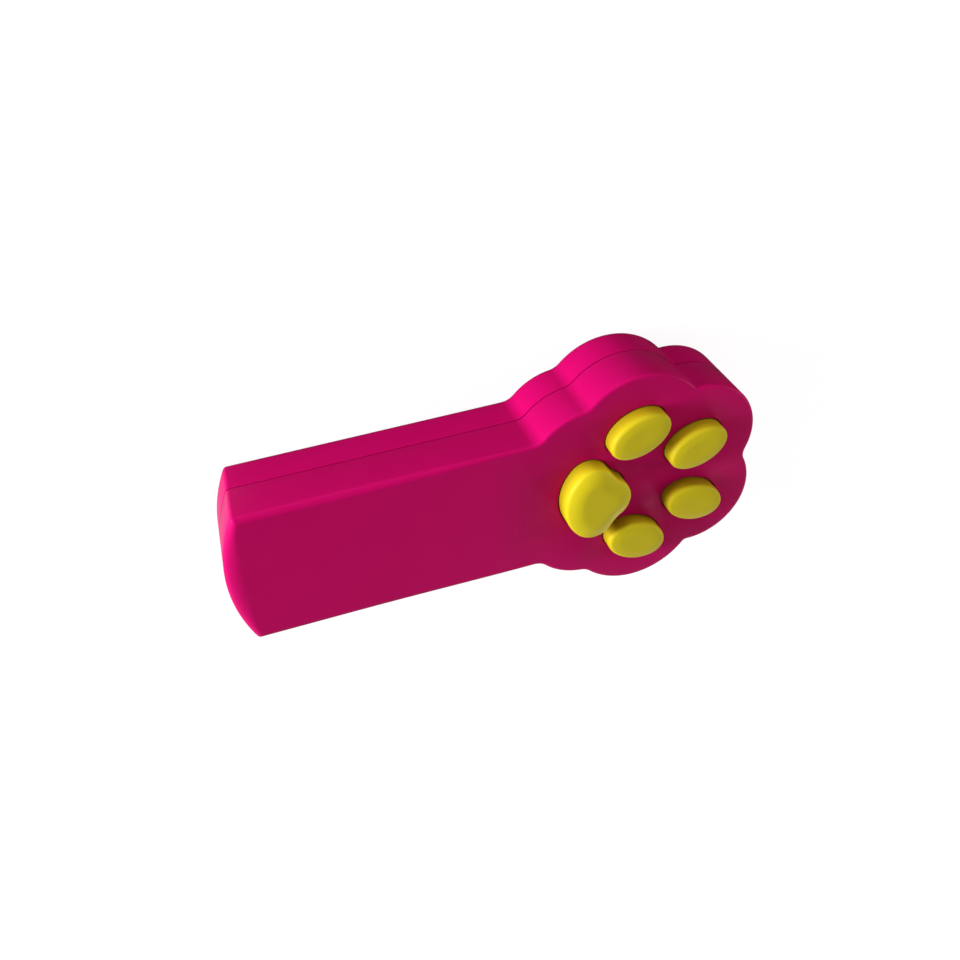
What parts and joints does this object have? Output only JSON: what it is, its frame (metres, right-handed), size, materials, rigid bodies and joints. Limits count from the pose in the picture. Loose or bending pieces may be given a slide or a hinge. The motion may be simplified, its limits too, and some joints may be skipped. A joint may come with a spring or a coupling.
{
  "type": "cat laser pointer",
  "caption": "Paw-shaped hand-held cat laser pointer: split pink casing, sprung lime palm and toe keys on its face, a laser behind the front notch and a battery door in its back.",
  "frame": {"origin": "middle of the bounding box at the back face that it lies on", "axes": "+X along the handle towards the paw, +Z out of the face with the keys, +Y to the left seen from the handle with the keys up"},
  "size_m": [0.1196, 0.0554, 0.0251],
  "materials": {
    "casing_pink": "satin moulded ABS",
    "key_lime": "satin moulded ABS",
    "screw_steel": "zinc plated",
    "contact_nickel": "nickel plated spring steel",
    "board_green": "solder mask on glass fibre board",
    "switch_black": "moulded",
    "cell_jacket": "plain printed film over steel",
    "barrel_brass": "turned",
    "lens_clear": "clear acrylic",
    "wire_red": "insulated stranded wire"
  },
  "bodies": {
    "housing": {"front_shell": "casing_pink", "rear_shell": "casing_pink", "shell_screws": "screw_steel", "circuit_board": "board_green", "board_screws": "screw_steel", "switch_palm": "switch_black", "switch_toe_1": "switch_black", "switch_toe_2": "switch_black", "switch_toe_3": "switch_black", "switch_toe_4": "switch_black", "cell_left": "cell_jacket", "cell_right": "cell_jacket", "cell_spring_left": "contact_nickel", "cell_spring_right": "contact_nickel", "bridge_contact": "contact_nickel", "negative_contact": "contact_nickel", "positive_contact": "contact_nickel", "laser_barrel": "barrel_brass", "laser_diode": "barrel_brass", "collimating_lens": "lens_clear", "lens_nut": "barrel_brass", "driver_board": "board_green", "front_window": "lens_clear", "laser_leads": "wire_red", "battery_leads": "wire_red"},
    "door": {"battery_door": "casing_pink", "door_screws": "screw_steel"},
    "palm_key": {"palm_key": "key_lime", "plunger_palm": "switch_black"},
    "toe_1_key": {"toe_key_1": "key_lime", "plunger_toe_1": "switch_black"},
    "toe_2_key": {"toe_key_2": "key_lime", "plunger_toe_2": "switch_black"},
    "toe_3_key": {"toe_key_3": "key_lime", "plunger_toe_3": "switch_black"},
    "toe_4_key": {"toe_key_4": "key_lime", "plunger_toe_4": "switch_black"}
  },
  "joints": [
    {"name": "palm_press", "type": "slide", "parent": "housing", "child": "palm_key", "axis": [0, 0, -1], "range_m": [0, 0.0005], "stiffness_N_per_m": 3200},
    {"name": "toe_1_press", "type": "slide", "parent": "housing", "child": "toe_1_key", "axis": [0, 0, -1], "range_m": [0, 0.0005], "stiffness_N_per_m": 3200},
    {"name": "toe_2_press", "type": "slide", "parent": "housing", "child": "toe_2_key", "axis": [0, 0, -1], "range_m": [0, 0.0005], "stiffness_N_per_m": 3200},
    {"name": "toe_3_press", "type": "slide", "parent": "housing", "child": "toe_3_key", "axis": [0, 0, -1], "range_m": [0, 0.0005], "stiffness_N_per_m": 3200},
    {"name": "toe_4_press", "type": "slide", "parent": "housing", "child": "toe_4_key", "axis": [0, 0, -1], "range_m": [0, 0.0005], "stiffness_N_per_m": 3200},
    {"name": "door_lift", "type": "slide", "parent": "housing", "child": "door", "axis": [0, 0, -1], "range_m": [0, 0.02]}
  ]
}
